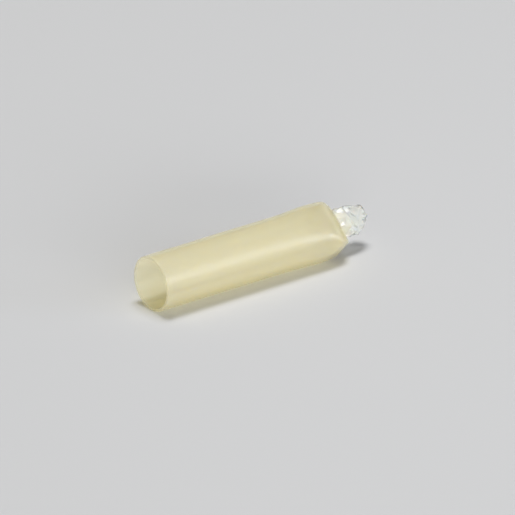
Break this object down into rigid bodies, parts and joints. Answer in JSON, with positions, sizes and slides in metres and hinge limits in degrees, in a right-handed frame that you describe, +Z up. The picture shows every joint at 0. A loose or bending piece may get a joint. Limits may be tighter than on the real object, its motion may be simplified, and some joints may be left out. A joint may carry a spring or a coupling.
{
  "type": "heat shrink end cap",
  "caption": "Heat shrink end cap: a thin translucent sleeve with one round open mouth, its other end pinched flat and sealed with hot-melt that stands out as a crumpled clear tail.",
  "frame": {"origin": "centre of the open mouth, on the sleeve's axis", "axes": "+X along the sleeve from the open mouth to the closed end, +Z up, lying on its side as it would on a bench"},
  "size_m": [0.0572, 0.012, 0.012],
  "materials": {
    "shrink_sleeve": "translucent cream-yellow polyolefin, smooth and softly glossy",
    "hot_melt_sealant": "clear to cloudy hot-melt, hardened in flat glossy facets"
  },
  "bodies": {
    "root": {"shrink_sleeve": "shrink_sleeve", "sealant_plug": "hot_melt_sealant"}
  },
  "joints": []
}
